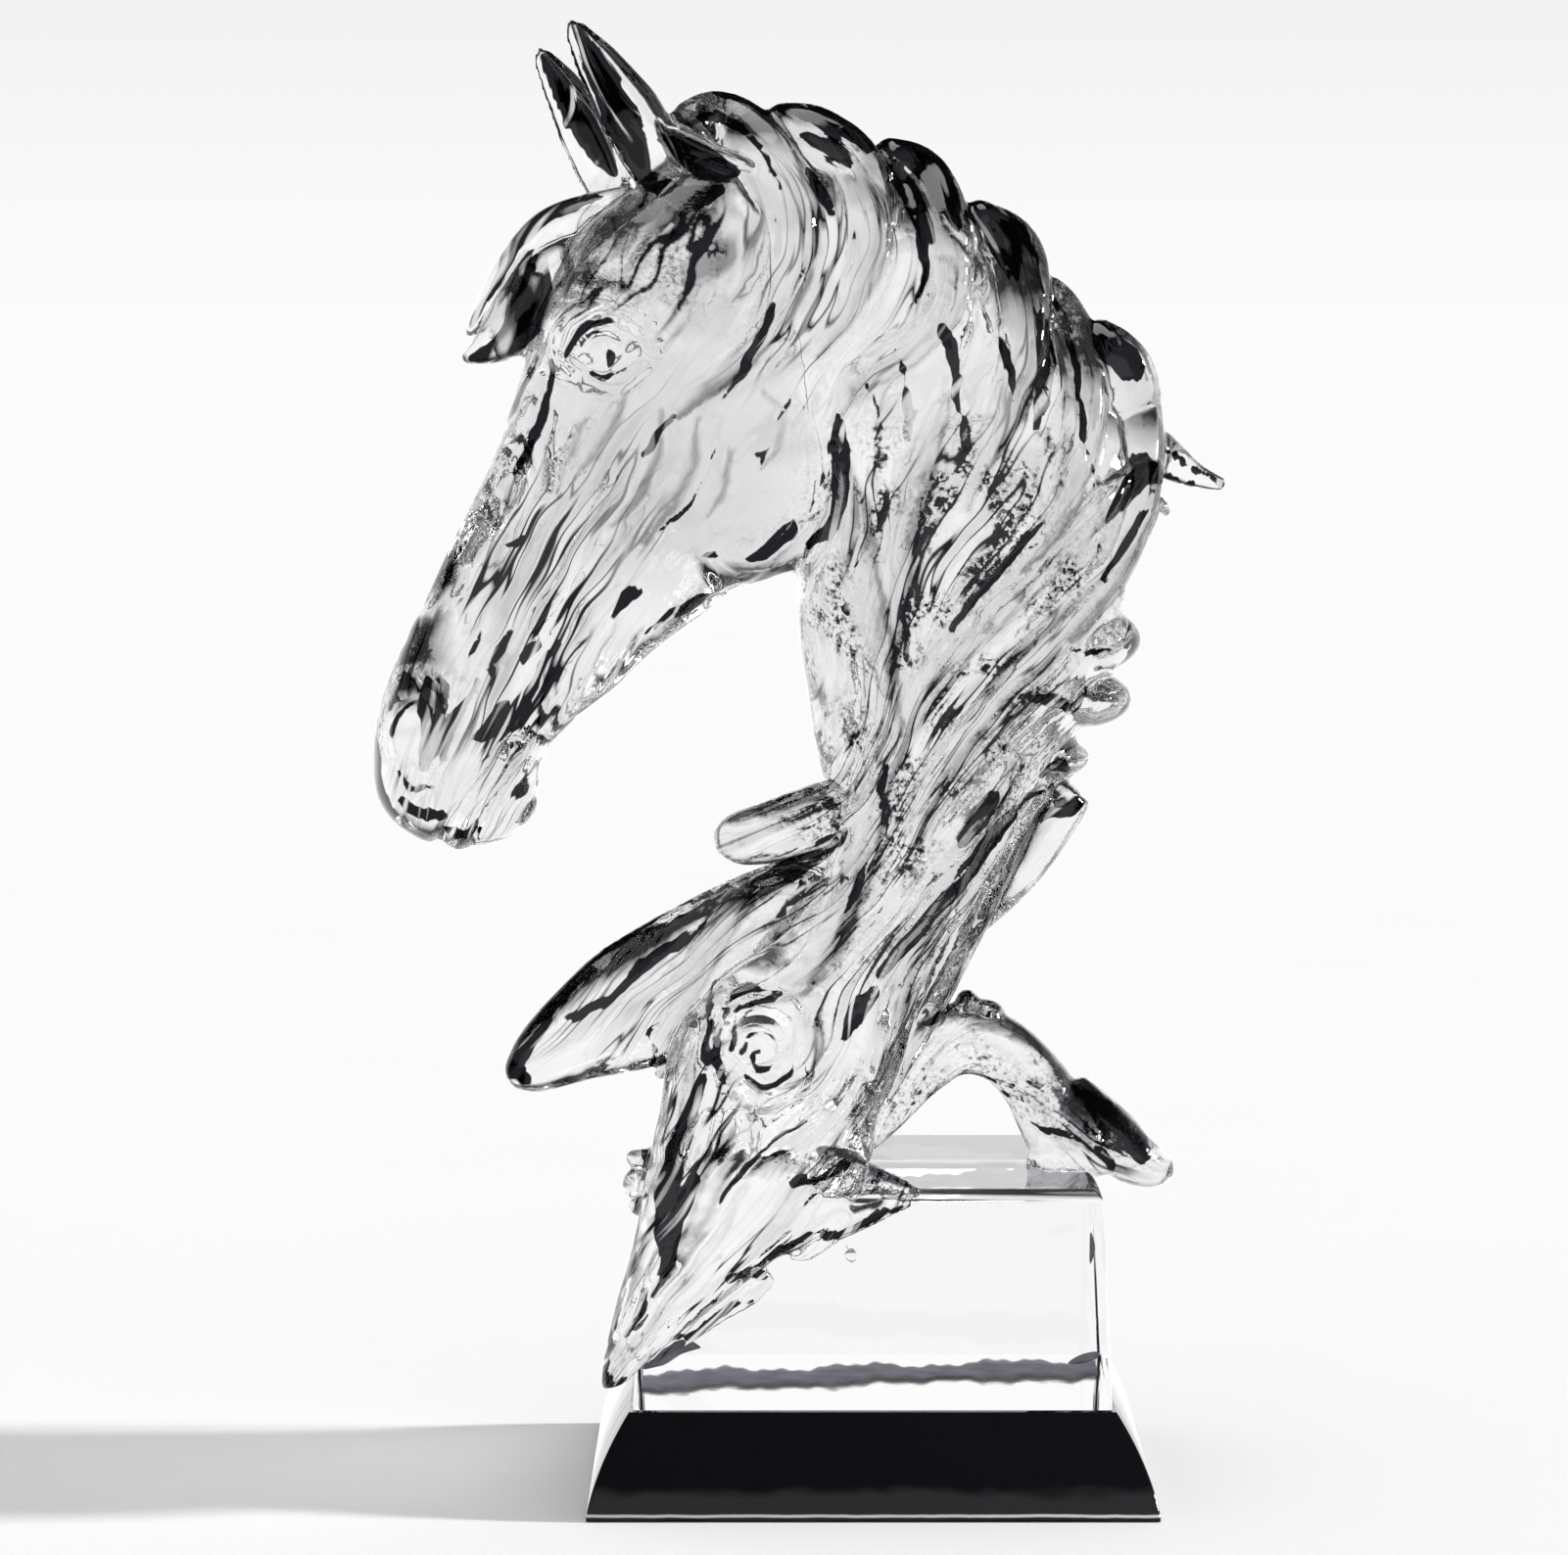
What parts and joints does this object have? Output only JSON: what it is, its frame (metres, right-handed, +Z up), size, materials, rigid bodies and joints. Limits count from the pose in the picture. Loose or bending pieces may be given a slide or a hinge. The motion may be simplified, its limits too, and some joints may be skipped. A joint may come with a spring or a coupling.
{
  "type": "cast resin horse head sculpture",
  "caption": "Clear cast-resin table sculpture of a horse's head and flowing mane above a second, lower head, cast in one with a clear block on a flared black foot.",
  "frame": {"origin": "centre of the black foot's flat underside", "axes": "+Z up out of the underside, +X to the right across the front so that the upper head looks towards -X, +Y to the back"},
  "size_m": [0.2163, 0.124, 0.372],
  "materials": {
    "clear_resin": "clear polished cast resin, see-through",
    "black_resin": "opaque black resin, polished to a high gloss"
  },
  "bodies": {
    "root": {"horse_sculpture": "clear_resin", "black_foot": "black_resin"}
  },
  "joints": []
}
